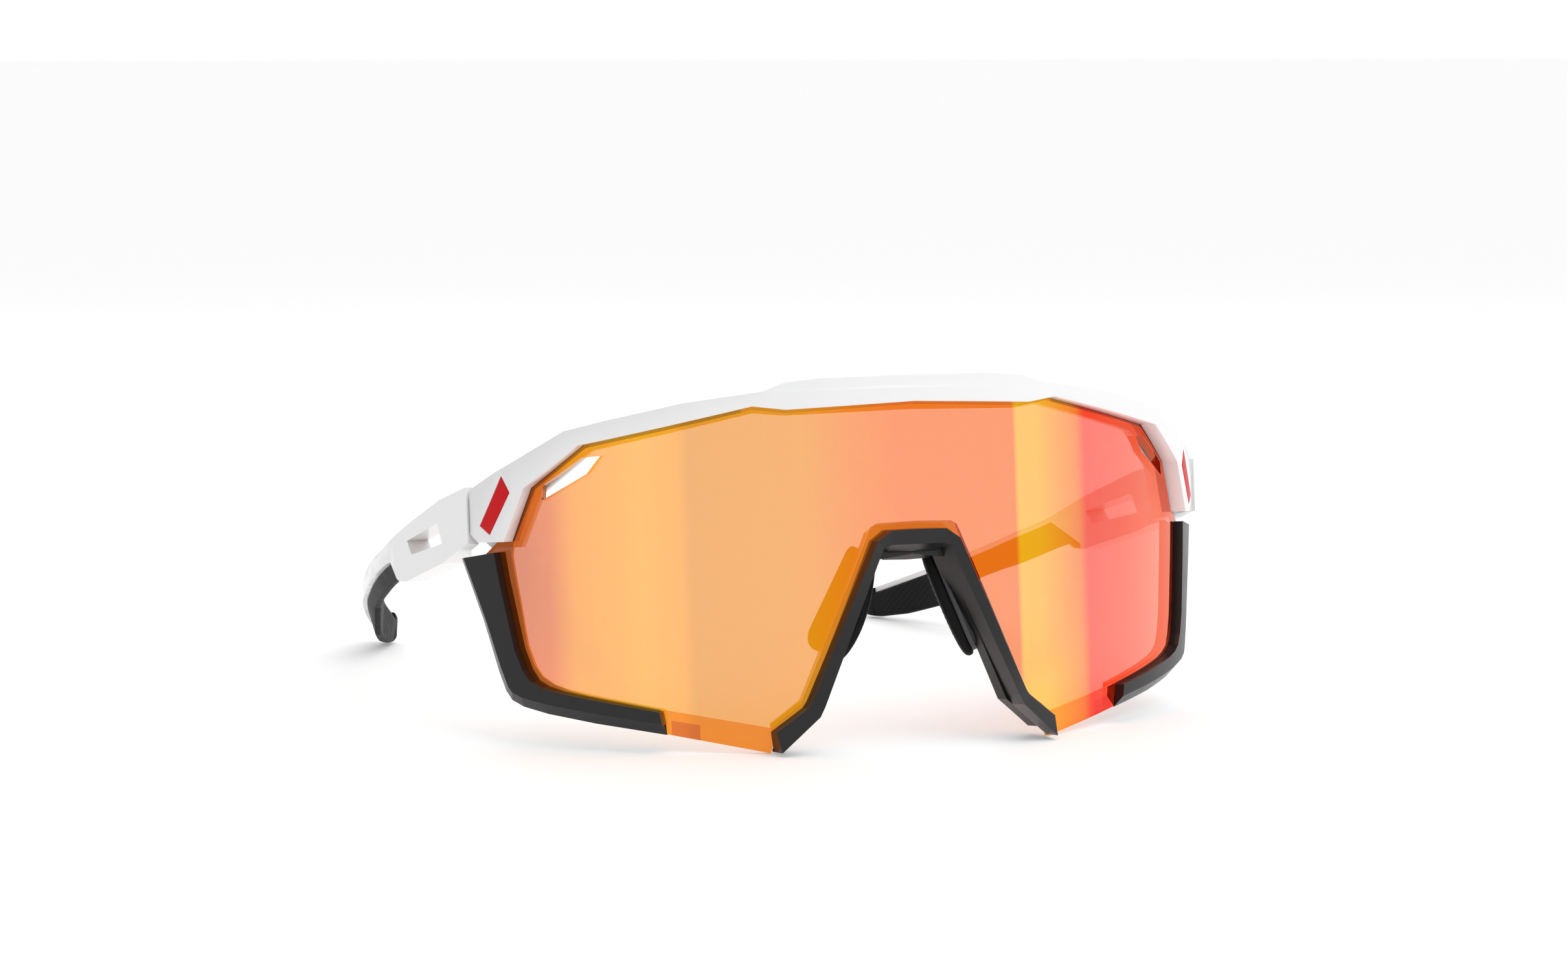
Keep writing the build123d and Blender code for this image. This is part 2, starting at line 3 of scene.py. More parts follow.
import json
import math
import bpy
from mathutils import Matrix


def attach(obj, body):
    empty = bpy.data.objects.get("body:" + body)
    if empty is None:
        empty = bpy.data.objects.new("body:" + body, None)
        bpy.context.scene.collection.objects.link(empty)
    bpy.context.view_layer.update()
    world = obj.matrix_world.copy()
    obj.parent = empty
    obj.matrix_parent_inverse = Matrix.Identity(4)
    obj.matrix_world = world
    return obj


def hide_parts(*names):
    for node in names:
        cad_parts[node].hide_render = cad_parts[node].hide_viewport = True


bl_info = {
    "name": "Wraparound Sport Sunglasses",
    "version": (1, 0, 0),
    "blender": (4, 5, 0),
    "location": "View3D > Sidebar > Sunglasses",
    "description": "Finishes and soft pieces of a half-frame shield sunglasses model",
    "category": "Object",
}

import bpy
import numpy as np
from bpy.props import FloatProperty, FloatVectorProperty, IntProperty, PointerProperty
from mathutils import Vector

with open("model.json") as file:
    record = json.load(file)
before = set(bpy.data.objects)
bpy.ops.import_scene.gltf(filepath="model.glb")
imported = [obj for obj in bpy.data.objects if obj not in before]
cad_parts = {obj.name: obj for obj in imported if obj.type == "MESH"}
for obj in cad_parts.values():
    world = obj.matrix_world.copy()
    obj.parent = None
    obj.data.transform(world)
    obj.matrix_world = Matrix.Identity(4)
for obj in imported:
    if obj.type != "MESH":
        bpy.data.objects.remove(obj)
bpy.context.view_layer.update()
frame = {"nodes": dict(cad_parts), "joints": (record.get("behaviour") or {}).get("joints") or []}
NODES = frame["nodes"]

# ---- the wear frame -------------------------------------------------------------
# X across the face, depth back along the head and height up the lens, in millimetres.
# It leans back by TILT when the glasses stand on the lens corners and the arm tips.
MM = 0.001
TILT = math.radians(5.716)
COS, SIN = math.cos(TILT), math.sin(TILT)
HINGE_DEPTH, HINGE_HEIGHT = 41.0, 44.3
HINGE = [j["pos_m"] for j in frame["joints"] if j["name"] == "arm_right_fold"][0]
HOME_Y = HINGE[1] / MM - HINGE_DEPTH * COS - HINGE_HEIGHT * SIN
HOME_Z = HINGE[2] / MM + HINGE_DEPTH * SIN - HINGE_HEIGHT * COS
LENS_RADIUS = 86.45


def standing(points):
    """Points of the wear frame in mm, turned by the tilt and moved home, in metres."""
    x, depth, height = points[..., 0], points[..., 1], points[..., 2]
    y = depth * COS + height * SIN + HOME_Y
    z = height * COS - depth * SIN + HOME_Z
    return np.stack([x, y, z], -1) * MM


# ---- sizes and colours ------------------------------------------------------------
def colour(name, description, default):
    return FloatVectorProperty(
        name=name, description=description, default=default, size=3, min=0, max=1, subtype="COLOR"
    )


def length(name, description, default):
    """A length in millimetres, shown as a plain number."""
    return FloatProperty(name=name, description=description, default=default, min=0, soft_max=20)


class SunglassesLens(bpy.types.PropertyGroup):
    """Mirror coating of the shield lens."""

    opacity: FloatProperty(
        name="Coating", description="Share of light the mirror coating keeps from passing",
        default=0.835, min=0, max=1, subtype="FACTOR",
    )  # fmt: skip
    roughness: FloatProperty(
        name="Roughness", description="Roughness of the polished coating",
        default=0.05, min=0, max=1, subtype="FACTOR",
    )  # fmt: skip


class SunglassesFrame(bpy.types.PropertyGroup):
    """Moulded plastics of the frame, arms and rims."""

    white: colour("Frame", "Gloss plastic of the brow frame and arms", (0.84, 0.84, 0.845))
    black: colour("Rims", "Satin plastic of the lower rims and nose bridge", (0.009, 0.009, 0.0095))
    accent: colour("Inlay", "Painted inlay on each end piece", (0.62, 0.006, 0.01))
    steel: colour("Screws", "Steel of the hinge screws", (0.62, 0.62, 0.64))
    bevel: length("Edge", "Width of the softened moulded edges in mm", 0.22)


class SunglassesSoft(bpy.types.PropertyGroup):
    """Soft pieces that touch the head."""

    rubber: colour("Rubber", "Soft black of the pads and sleeves", (0.006, 0.006, 0.0065))
    pad_thick: length("Pad", "Thickness of a nose pad in mm", 2.4)
    sleeve_round: length("Sleeve edge", "Rounding of the sleeve's long edges in mm", 0.45)
    grip_depth: length("Grip", "Depth of the grip ribs in mm", 0.1)
    stations: IntProperty(
        name="Stations", description="Cross-sections along a sleeve", default=300, min=40, max=600
    )


class SunglassesStudio(bpy.types.PropertyGroup):
    """Floor, light and camera."""

    floor: colour("Floor", "Pale floor", (0.93, 0.93, 0.93))
    key_power: FloatProperty(
        name="Key light", description="Power of the large soft light",
        default=2.0, min=0, unit="POWER",
    )  # fmt: skip
    sky: FloatProperty(
        name="Surround", description="Light that the white room casts on matt surfaces",
        default=1.0, min=0,
    )  # fmt: skip
    glow: FloatProperty(
        name="Floor glow", description="Own light of the white floor", default=0.2, min=0
    )
    focal: FloatProperty(
        name="Focal length", description="Lens of the camera in mm", default=93.92, min=1
    )


class SunglassesSettings(bpy.types.PropertyGroup):
    """Every size and colour that a user would change."""

    lens: PointerProperty(type=SunglassesLens)
    frame: PointerProperty(type=SunglassesFrame)
    soft: PointerProperty(type=SunglassesSoft)
    studio: PointerProperty(type=SunglassesStudio)


# ---- shaders -----------------------------------------------------------------------
class Wire:
    """A shader socket that takes part in sums: each operator adds one Math node."""

    def __init__(self, finish, socket):
        self.finish = finish
        self.socket = socket

    def _math(self, operation, first, second=0.0):
        return self.finish.node("ShaderNodeMath", {"operation": operation}, {0: first, 1: second})

    def __add__(self, other):
        return self._math("ADD", self, other)

    def __sub__(self, other):
        return self._math("SUBTRACT", self, other)

    def __rsub__(self, other):
        return self._math("SUBTRACT", other, self)

    def __mul__(self, other):
        return self._math("MULTIPLY", self, other)

    def __truediv__(self, other):
        return self._math("DIVIDE", self, other)

    def above(self, level):
        return self._math("GREATER_THAN", self, level)

    def root(self):
        return self._math("SQRT", self)

    def size(self):
        return self._math("ABSOLUTE", self)

    __radd__ = __add__
    __rmul__ = __mul__


class Finish:
    """One material: its Principled shader and the nodes that feed it."""

    def __init__(self, name, constants, tree=None):
        self.material = None
        if tree is None:
            self.material = bpy.data.materials.new(name)
            self.material.use_nodes = True
            tree = self.material.node_tree
        self.tree = tree
        self.shader = tree.nodes.get("Principled BSDF")
        for socket, value in constants.items():
            self.shader.inputs[socket].default_value = value

    def node(self, kind, settings=None, values=None, output=0):
        """Adds a node: its settings first, then the values or links of its sockets."""
        node = self.tree.nodes.new(kind)
        for key, value in (settings or {}).items():
            if key == "stops":
                ramp = node.color_ramp
                while len(ramp.elements) < len(value):
                    ramp.elements.new(0.5)
                for element, (position, shade) in zip(ramp.elements, value):
                    element.position = position
                    element.color = (*shade, 1)
            else:
                setattr(node, key, value)
        for key, value in (values or {}).items():
            self.link(node.inputs[key], value)
        return Wire(self, node.outputs[output])

    def link(self, socket, value):
        if isinstance(value, Wire):
            self.tree.links.new(value.socket, socket)
        else:
            socket.default_value = value

    def feed(self, name, value):
        self.link(self.shader.inputs[name], value)

    def place(self):
        """Position on the piece in metres, as three numbers."""
        where = self.node("ShaderNodeTexCoord", output="Object")
        return [self.node("ShaderNodeSeparateXYZ", values={0: where}, output=i) for i in range(3)]

    def noise(self, scale, detail=2.0):
        where = self.node("ShaderNodeTexCoord", output="Object")
        return self.node(
            "ShaderNodeTexNoise", values={"Vector": where, "Scale": scale, "Detail": detail}
        )

    def blend(self, factor, first, second):
        """Colour between two colours."""
        settings = {"data_type": "RGBA"}
        values = {"Factor": factor, 6: (*first, 1), 7: (*second, 1)}
        return self.node("ShaderNodeMix", settings, values, output=2)

    def relief(self, height, distance):
        """Bump from a height that runs from 0 to 1 over a distance in metres."""
        values = {"Strength": 1.0, "Distance": distance, "Height": height}
        self.feed("Normal", self.node("ShaderNodeBump", values=values))


def moulded(name, shade, roughness, spread, grain, grain_depth, **constants):
    """Moulded plastic, rubber or plain metal: colour and gloss drift slowly, with a fine skin.

    The colour drifts by the spread either way. The grain is the fineness of the skin and its
    depth is in metres.
    """
    finish = Finish(name, constants)
    drift = finish.noise(55, 3)
    lighter = [min(1.0, c * (1 + spread)) for c in shade]
    darker = [c * (1 - spread) for c in shade]
    finish.feed("Base Color", finish.blend(drift, darker, lighter))
    finish.feed("Roughness", roughness + (finish.noise(420, 2) - 0.5) * (roughness * 0.35))
    finish.relief(finish.noise(grain, 3), grain_depth)
    return finish.material


# Levels and places on the lens, in mm, and the tints of its margin, which hold painted shade and
# painted light.
LENS_IOR = 1.58
COAT_LEVEL = -2.2  # mm; surfaces in front of this level carry the mirror coating
MARGIN_LEVEL = -0.75  # the margin lies below this level and the centre zone above it
MARGIN_MATT = 0.25  # share of its mirror that the margin lacks
MARGIN_OPAQUE = 0.97
GAP_FROM, GAP_TO, GAP_TOP = 26.0, 44.5, 9.0  # where nothing black stands behind the margin
TAB_FROM, TAB_TO, TAB_TOP, TAB_RISE = 38.4, 42.9, 5.8, 0.2
NOSE_SIDE = 30.0  # the nose bridge stands behind the margin within this distance
# Painted shade on the margin where the rim or the nose bridge stands behind it, and painted light
# where nothing black does.
PAINTED_SHADE_RIM = (0.55, 0.62, 0.5)
PAINTED_SHADE_NOSE = (0.82, 0.85, 1.0)
PAINTED_LIGHT_GAP = (1.0, 0.75, 1.2)
OVER_TAB = (0.78, 0.55, 0.9)
HALF_SPAN = 70.0  # the colours run from this far on the left to this far on the right
COATING_AND_PAINTED_REFLECTIONS = [  # X and the colour there: the coating's hue, with painted reflection bands at the sharp steps
    (-66.0, (0.66, 0.12, 0.012)),
    (-60.5, (0.80, 0.17, 0.010)),
    (-57.0, (0.98, 0.34, 0.008)),
    (-47.0, (1.00, 0.44, 0.008)),
    (-41.2, (1.00, 0.40, 0.008)),
    (-39.0, (0.86, 0.33, 0.006)),
    (-20.0, (0.90, 0.335, 0.006)),
    (-11.0, (0.95, 0.25, 0.006)),
    (-3.0, (0.96, 0.20, 0.006)),
    (20.9, (0.96, 0.20, 0.006)),
    (21.5, (1.00, 0.50, 0.008)),
    (26.0, (1.00, 0.48, 0.010)),
    (35.8, (0.98, 0.22, 0.012)),
    (37.6, (1.00, 0.045, 0.006)),
    (50.0, (1.00, 0.075, 0.005)),
    (58.0, (0.96, 0.10, 0.005)),
]


def lens_finish(settings):
    """Orange mirror coating whose hue drifts across the lens, with painted reflection bands.

    The level of a point is its distance from the lens axis less the lens radius. Rear faces
    lie lowest and stay clear. The margin lies below the centre zone and carries painted shade,
    darkest where black plastic stands behind it, and painted light where nothing black does.
    Two small tabs show at its foot.
    """
    finish = Finish("lens_orange_mirror", {"IOR": LENS_IOR})
    x, y, z = (part / MM for part in finish.place())
    y, z = y - HOME_Y, z - HOME_Z
    height = y * SIN + z * COS
    behind = LENS_RADIUS - (y * COS - z * SIN)
    level = (x * x + behind * behind).root() - LENS_RADIUS
    side = x.size()
    coated = level.above(COAT_LEVEL)
    margin = 1 - level.above(MARGIN_LEVEL)
    gap = side.above(GAP_FROM) * (1 - side.above(GAP_TO)) * (1 - height.above(GAP_TOP))
    tab_top = TAB_TOP + (side - TAB_FROM) * TAB_RISE
    tab = gap * side.above(TAB_FROM) * (1 - side.above(TAB_TO)) * (tab_top - height).above(0)
    # The ramp holds the coating's hue drift and painted reflection bands.
    stops = [((at + HALF_SPAN) / (2 * HALF_SPAN), shade) for at, shade in COATING_AND_PAINTED_REFLECTIONS]
    across = x / (2 * HALF_SPAN) + 0.5
    shade = finish.node("ShaderNodeValToRGB", {"stops": stops}, {"Fac": across})
    outer = side.above(NOSE_SIDE)
    # Painted shade from the black parts behind the margin, and painted light where none stand
    # behind it.
    tints = (
        (margin * outer * (1 - gap), PAINTED_SHADE_RIM),
        (margin * (1 - outer) * (1 - gap), PAINTED_SHADE_NOSE),
        (margin * gap, PAINTED_LIGHT_GAP),
        (tab, OVER_TAB),
    )
    for share, tint in tints:
        tinted = finish.node("ShaderNodeVectorMath", {"operation": "MULTIPLY"}, {0: shade, 1: tint})
        values = {"Factor": share, 6: shade, 7: tinted}
        shade = finish.node("ShaderNodeMix", {"data_type": "RGBA"}, values, output=2)
    finish.feed("Base Color", shade)
    finish.feed("Metallic", 1 - margin * MARGIN_MATT)
    finish.feed("Alpha", coated * (settings.opacity + margin * (MARGIN_OPAQUE - settings.opacity)))
    finish.feed("Roughness", settings.roughness * (0.7 + finish.noise(300, 2) * 0.6))
    return finish.material


# ---- meshes ------------------------------------------------------------------------
def shell(name, points, material, ends=True):
    """Closed mesh from rings of points; the first and last ring close on their middles."""
    rows, around = points.shape[:2]
    index = np.arange(rows * around).reshape(rows, around)
    after = np.roll(index, -1, 1)
    quads = np.stack([index[:-1], after[:-1], after[1:], index[1:]], -1).reshape(-1, 4)
    vertices = points.reshape(-1, 3)
    first, last = len(vertices), len(vertices) + 1
    vertices = np.vstack([vertices, points[0].mean(0), points[-1].mean(0)])
    start = np.stack([after[0], index[0], np.full(around, first)], -1)
    end = np.stack([index[-1], after[-1], np.full(around, last)], -1)
    mesh = bpy.data.meshes.new(name)
    mesh.from_pydata(vertices.tolist(), [], quads.tolist() + start.tolist() + end.tolist())
    mesh.shade_smooth()
    piece = bpy.data.objects.new(name, mesh)
    bpy.context.scene.collection.objects.link(piece)
    mesh.materials.append(material)
    return piece


def outward(piece):
    """Turns the faces outwards when the closed mesh holds a negative volume."""
    mesh = piece.data
    mesh.calc_loop_triangles()
    corners = np.zeros(len(mesh.vertices) * 3)
    mesh.vertices.foreach_get("co", corners)
    corners = corners.reshape(-1, 3)
    triangles = np.zeros(len(mesh.loop_triangles) * 3, int)
    mesh.loop_triangles.foreach_get("vertices", triangles)
    a, b, c = (corners[triangles.reshape(-1, 3)[:, i]] for i in range(3))
    if np.einsum("ij,ij->i", a, np.cross(b, c)).sum() < 0:
        mesh.flip_normals()
    return piece


def dress(node, material):
    """Gives a CAD node its finish."""
    mesh = NODES[node].data
    mesh.materials.clear()
    mesh.materials.append(material)


WELD_REACH = 0.000002  # in metres
SHARP_EDGE = math.radians(25)  # edges that turn by more than this are rounded


def soften(node, width):
    """Merges the loose triangles of a CAD node and rounds its sharp edges."""
    weld = NODES[node].modifiers.new("weld", "WELD")
    weld.merge_threshold = WELD_REACH
    bevel = NODES[node].modifiers.new("edge", "BEVEL")
    bevel.width = width * MM
    bevel.segments = 2
    bevel.limit_method = "ANGLE"
    bevel.angle_limit = SHARP_EDGE
    bevel.harden_normals = True


# Nose pad, in mm: its place, then its outline, its profile and its ribs.
PLATE_THICK = 0.8
PAD_CENTRE = np.array([10.8, 8.2, 26.0])
PAD_UP = np.array([-0.389, 0, 0.921])
PAD_BACK = np.array([0.389, 0.906, 0.164])
PAD_OUT = np.cross(PAD_UP, PAD_BACK)
PAD_MIDDLE, PAD_REACH = 0.05, 10.8  # middle of the outline and half its length
PAD_HALF, PAD_TAPER, PAD_WAIST = 3.38, 1.05, 0.25  # half width and how it changes along the pad
PAD_LEAN, PAD_SPAN = 0.2, 15.2  # the outline leans sideways by the lean over this length
PAD_LOBE = 6.6  # distance of the lower lobe below the middle
PAD_PROFILE = [  # share of the outline and share of the thickness, from the back to the crown
    (0.02, 0), (0.5, 0), (0.86, 0), (0.92, 0.02), (0.965, 0.08), (0.99, 0.18), (1.0, 0.36),
    (0.99, 0.54), (0.965, 0.68), (0.92, 0.78), (0.85, 0.86), (0.76, 0.915), (0.65, 0.95),
    (0.52, 0.975), (0.38, 0.99), (0.24, 0.997), (0.1, 1.0),
]  # fmt: skip
PAD_AROUND, PAD_ALONG = 96, 65  # points round the pad and from its back to its crown
RIB_HEIGHT, RIB_PITCH = 0.05, 1.1
RIB_END = 0.8  # the ribs fade out at this share of the outline
RIB_FROM = 0.5  # and start past this share of the thickness


def pad_surface(side, thick):
    """Nose pad: teardrop outline times a crowned profile.

    Round the pad by the angle a, the outline is a point (L cos a, W(a) sin a) whose half
    width W shrinks towards the top. Along the profile the outline is scaled by a share and
    lifted by a height, from the flat back over the rounded side to the crown. Fine ribs of
    height a few hundredths of a millimetre cross the crown.
    """
    a = np.linspace(0, 2 * math.pi, PAD_AROUND, endpoint=False)
    share, lift = np.array(PAD_PROFILE).T
    step = np.arange(len(share))
    fine = np.linspace(0, len(share) - 1, PAD_ALONG)
    share = np.interp(fine, step, share)
    lift = np.interp(fine, step, lift)
    along = PAD_MIDDLE + PAD_REACH * np.cos(a)
    half = PAD_HALF - PAD_TAPER * np.cos(a) - PAD_WAIST * np.cos(2 * a)
    across = half * np.sin(a) - PAD_LEAN * (along + PAD_LOBE) / PAD_SPAN
    p = share[:, None] * along
    q = share[:, None] * across
    fade = np.clip(1 - (share[:, None] / RIB_END) ** 4, 0, 1)
    ribs = RIB_HEIGHT * np.cos(p * 2 * math.pi / RIB_PITCH) * fade
    ribs = ribs * (lift[:, None] > RIB_FROM)
    r = PLATE_THICK + thick * lift[:, None] + ribs
    points = PAD_CENTRE + p[..., None] * PAD_UP + q[..., None] * PAD_BACK + r[..., None] * PAD_OUT
    points[..., 0] *= side
    return standing(points)


# Arm outlines as (depth, height), and the plan of its bend.
ARM_OUTER = 72.6
ARM_THICK = 4.2
STRAIGHT_END = 86.0
BEND_RADIUS = 188.0
ARM_TOP = [
    (74, 42.4), (84, 40.0), (94, 37.3), (110, 33.9), (125.5, 30.0), (139, 26.7), (155.8, 22.3),
    (160, 21.0), (161.4, 19.8),
]  # fmt: skip
ARM_BOTTOM = [
    (77.6, 31.2), (82.7, 31.2), (84.2, 31.6), (86.5, 32.4), (98, 30.1), (108.5, 27.8), (117, 26.2),
    (124.5, 24.5), (131.5, 21.2), (138, 18.4), (148, 16.5), (155.6, 15.8), (158.8, 16.1),
    (160.8, 17.0), (161.6, 18.4),
]  # fmt: skip
SPINE_LOW = [
    (84.6, 31.8), (88.6, 34.6), (92.2, 34.2), (103, 31.9), (122, 27.4), (143, 23.4), (152, 21.2),
    (175, 15.5),
]  # fmt: skip
CAP_LOW = [
    (79.0, 32.3), (92.7, 36.5), (110, 32.8), (125.5, 28.9), (139, 25.6), (155.8, 21.2), (175, 16.1),
]  # fmt: skip
SPINE_THICK = 1.75  # the white spine and the gap beside it
SPINE_GAP = 0.05  # the sleeve stands this far below the spine and its cap
SLEEVE_INSET = 0.8
CORNER_STEPS = 6  # points on each rounded corner of the profile
FACE_STEPS = 24  # extra points across the inner face
FACE_START = 2 * CORNER_STEPS
SLEEVE_LEAD = 5.4  # the inner side of the sleeve starts this far in front of its outer side
UNDER_SLOPE = 1.5  # the underside starts this far in from the outer side
UNDER_EASE = 0.7  # and ends this far short of the inner face
TIP_INSET = 0.3
TIP_SWELL = 1.0  # the grip at the tip stands in by this much
TIP_ROUND = 1.6  # length over which the tip closes
# Distances along the outer face, from the start of the bend.
SLEEVE_START = -1.35
LEAD_END = 10.0  # past here the inner side no longer leads
SLOPE_OVER = 8.0  # length over which the underside takes up its slope
SLOPE_LOSS = 0.35  # share of the slope lost past the spine's end
SWELL_FROM, SWELL_OVER = 52.0, 18.0
SWELL_ROUND = 1.6  # and the rounding grows by this share with the swelling
SPINE_FADE = 0.3  # length over which the profile fills out past the spine's end
CREST_INNER, CREST_OUTER = 2.6, 1.4  # how far in its two upper corners then stand
# Grip ribs on the inner face: depths where they run, and their shape.
GRIP_FROM, GRIP_TO, GRIP_FADE = 138.0, 155.0, 3.0
GRIP_PITCH, GRIP_SLANT, GRIP_MARGIN = 1.6, 1.2, 0.12
FACE_REACH = 0.02  # points within this distance of the inner face belong to it
SPINE_END = math.radians(22.4) * BEND_RADIUS
ARM_END = math.radians(23.7) * BEND_RADIUS


def along(outline, depth):
    """Height of an outline at each depth, on straight lines between its points."""
    at, height = np.array(outline).T
    return np.interp(depth, at, height)


def arm_point(run, inward):
    """Plan point a distance along the arm's outer face from the bend and a distance inward.

    Before the bend the arm is straight. After it, the outer face is an arc, so the point is
    the arc's centre plus (radius - inward) times the cosine and sine of run / radius.
    """
    angle = np.clip(run, 0, None) / BEND_RADIUS
    x = ARM_OUTER - BEND_RADIUS + (BEND_RADIUS - inward) * np.cos(angle)
    depth = STRAIGHT_END + (BEND_RADIUS - inward) * np.sin(angle) + np.minimum(run, 0)
    return x, depth


def sleeve_surface(side, stations, rounding, grip):
    """Soft sleeve: an L-shaped profile with rounded corners carried along the arm's bend.

    At each station the six corners of the profile are a distance inward and a share of the
    height between the lower edge of the arm, of the spine and of its cap. Each corner is
    rounded by a quadratic curve. The inner side starts in front of the outer side by the
    lead, and the underside slopes. Past the spine's end the profile fills out to the whole
    arm. Towards the tip the inner face swells inwards and carries slanting ribs, and at the
    tip the profile closes on its middle as an ellipse.
    """
    run = np.concatenate([
        np.linspace(SLEEVE_START, SPINE_END - 0.01, stations),
        np.linspace(SPINE_END, SPINE_END + SPINE_FADE, 4),
        np.linspace(SPINE_END + 0.5, ARM_END - 0.02, 40),
    ])[:, None]  # fmt: skip
    whole = np.clip((run - SPINE_END) / SPINE_FADE, 0, 1)
    whole = whole * whole * (3 - 2 * whole)
    slim = np.clip((run - SLEEVE_START) / SLOPE_OVER, 0, 1) * (1 - SLOPE_LOSS * whole)
    beside_spine = [SLEEVE_INSET, ARM_THICK, ARM_THICK, SPINE_THICK, SPINE_THICK, SLEEVE_INSET]
    past_spine = [TIP_INSET, ARM_THICK, ARM_THICK, CREST_INNER, CREST_OUTER, TIP_INSET]
    inward = np.array(beside_spine) * (1 - whole) + np.array(past_spine) * whole
    inward = inward + slim * np.array([UNDER_SLOPE, -UNDER_EASE, 0, 0, 0, 0])
    swell = np.clip((run - SWELL_FROM) / SWELL_OVER, 0, 1)
    inward = inward + TIP_SWELL * swell * swell * (3 - 2 * swell) * np.array([0, 1, 1, 0, 0, 0])
    lead = np.clip((LEAD_END - run) / (LEAD_END - SLEEVE_START), 0, 1)
    lead = lead * np.array([0, SLEEVE_LEAD, 0, 0, 0, 0])
    depth = arm_point(run - lead, inward)[1]
    low, top = along(ARM_BOTTOM, depth), along(ARM_TOP, depth)
    spine = np.maximum(along(SPINE_LOW, depth) - SPINE_GAP, low)
    cap = np.maximum(along(CAP_LOW, depth) - SPINE_GAP, low)
    under_spine = np.concatenate([low[:, :2], cap[:, 2:4], spine[:, 4:]], 1)
    full_height = np.concatenate([low[:, :2], top[:, 2:]], 1)
    height = under_spine * (1 - whole) + full_height * whole
    closing = np.clip((run - (ARM_END - TIP_ROUND)) / TIP_ROUND, 0, 1)
    closing = np.sqrt(np.clip(1 - closing**2, 0.02, 1))
    inward = (inward - inward.mean(1, keepdims=True)) * closing + inward.mean(1, keepdims=True)
    height = (height - height.mean(1, keepdims=True)) * closing + height.mean(1, keepdims=True)
    rounding = rounding * (1 + SWELL_ROUND * swell)
    corner = np.stack([inward, height], -1)
    before, after = np.roll(corner, 1, 1), np.roll(corner, -1, 1)
    ring = []
    bend = np.linspace(0, 1, CORNER_STEPS)
    for k in range(6):
        here = corner[:, k]
        back, ahead = before[:, k] - here, after[:, k] - here
        back_len = np.linalg.norm(back, axis=1, keepdims=True) + 1e-9
        ahead_len = np.linalg.norm(ahead, axis=1, keepdims=True) + 1e-9
        start = here + back / back_len * np.minimum(rounding, 0.45 * back_len)
        end = here + ahead / ahead_len * np.minimum(rounding, 0.45 * ahead_len)
        t = bend[None, :, None]
        middle = 2 * here[:, None] * t * (1 - t)
        ring.append(start[:, None] * (1 - t) ** 2 + middle + end[:, None] * t**2)
        if k == 1:  # the inner face gets more points for its ribs
            nxt = corner[:, 2] - here
            far = here + nxt - nxt / ahead_len * np.minimum(rounding, 0.45 * ahead_len)
            u = np.linspace(0, 1, FACE_STEPS + 2)[1:-1][None, :, None]
            ring.append(end[:, None] * (1 - u) + far[:, None] * u)
    ring = np.concatenate(ring, 1)
    share = np.zeros(ring.shape[1])
    share[FACE_START - CORNER_STEPS : FACE_START] = 1
    share[FACE_START : FACE_START + FACE_STEPS] = np.linspace(1, 0, FACE_STEPS)
    run = run - lead[:, 1:2] * share
    x, depth = arm_point(run, ring[..., 0])
    edge = corner[:, 1:2, 0]
    on_face = np.clip((ring[..., 0] - (edge - FACE_REACH)) / FACE_REACH, 0, 1)
    band = np.clip((depth - GRIP_FROM) / GRIP_FADE, 0, 1)
    band = band * np.clip((GRIP_TO - depth) / GRIP_FADE, 0, 1)
    low = along(ARM_BOTTOM, depth)
    rise = (ring[..., 1] - low) / np.maximum(along(CAP_LOW, depth) - low, 0.5)
    inside = np.clip(rise / GRIP_MARGIN, 0, 1) * np.clip((1 - rise) / GRIP_MARGIN, 0, 1)
    wave = 0.5 + 0.5 * np.cos((depth + GRIP_SLANT * ring[..., 1]) * 2 * math.pi / GRIP_PITCH)
    x, depth = arm_point(run, ring[..., 0] - grip * wave * on_face * band * inside)
    return standing(np.stack([x * side, depth, ring[..., 1]], -1))


# ---- operators ---------------------------------------------------------------------
class SUNGLASSES_OT_stage(bpy.types.Operator):
    """Pale floor, white room, large soft lights and the camera."""

    bl_idname = "sunglasses.stage"
    bl_label = "Floor, light and camera"

    def execute(self, context):
        studio = context.scene.sunglasses.studio
        context.scene.view_settings.view_transform = "Standard"
        build_floor(studio)
        build_room(context.scene, studio)
        build_camera(context.scene, studio)
        return {"FINISHED"}


FLOOR_HALF = 25.0  # half the width of the floor in metres
VIEW_END = 60.0  # the camera sees this far, past the floor's corners


def build_floor(studio):
    """Wide white paper floor with a little light of its own."""
    finish = Finish("floor_paper", {"IOR": 1.45, "Specular IOR Level": 0.2})
    base = studio.floor
    finish.feed("Base Color", finish.blend(finish.noise(3, 2), [c * 0.99 for c in base], base))
    finish.feed("Roughness", 0.62 + finish.noise(40, 2) * 0.1)
    finish.shader.inputs["Emission Color"].default_value = (1, 1, 1, 1)
    finish.shader.inputs["Emission Strength"].default_value = studio.glow
    half = FLOOR_HALF
    mesh = bpy.data.meshes.new("floor")
    corners = [(-half, -half, 0), (half, -half, 0), (half, half, 0), (-half, half, 0)]
    mesh.from_pydata(corners, [], [(0, 1, 2, 3)])
    floor = bpy.data.objects.new("floor", mesh)
    bpy.context.scene.collection.objects.link(floor)
    mesh.materials.append(finish.material)


LAMPS = (  # name, place and width in metres, share of the key light's power
    ("key_light", (0.25, -0.45, 0.75), 0.7, 1.0),
    ("back_light", (0.1, 0.6, 0.7), 0.6, 0.4),
)


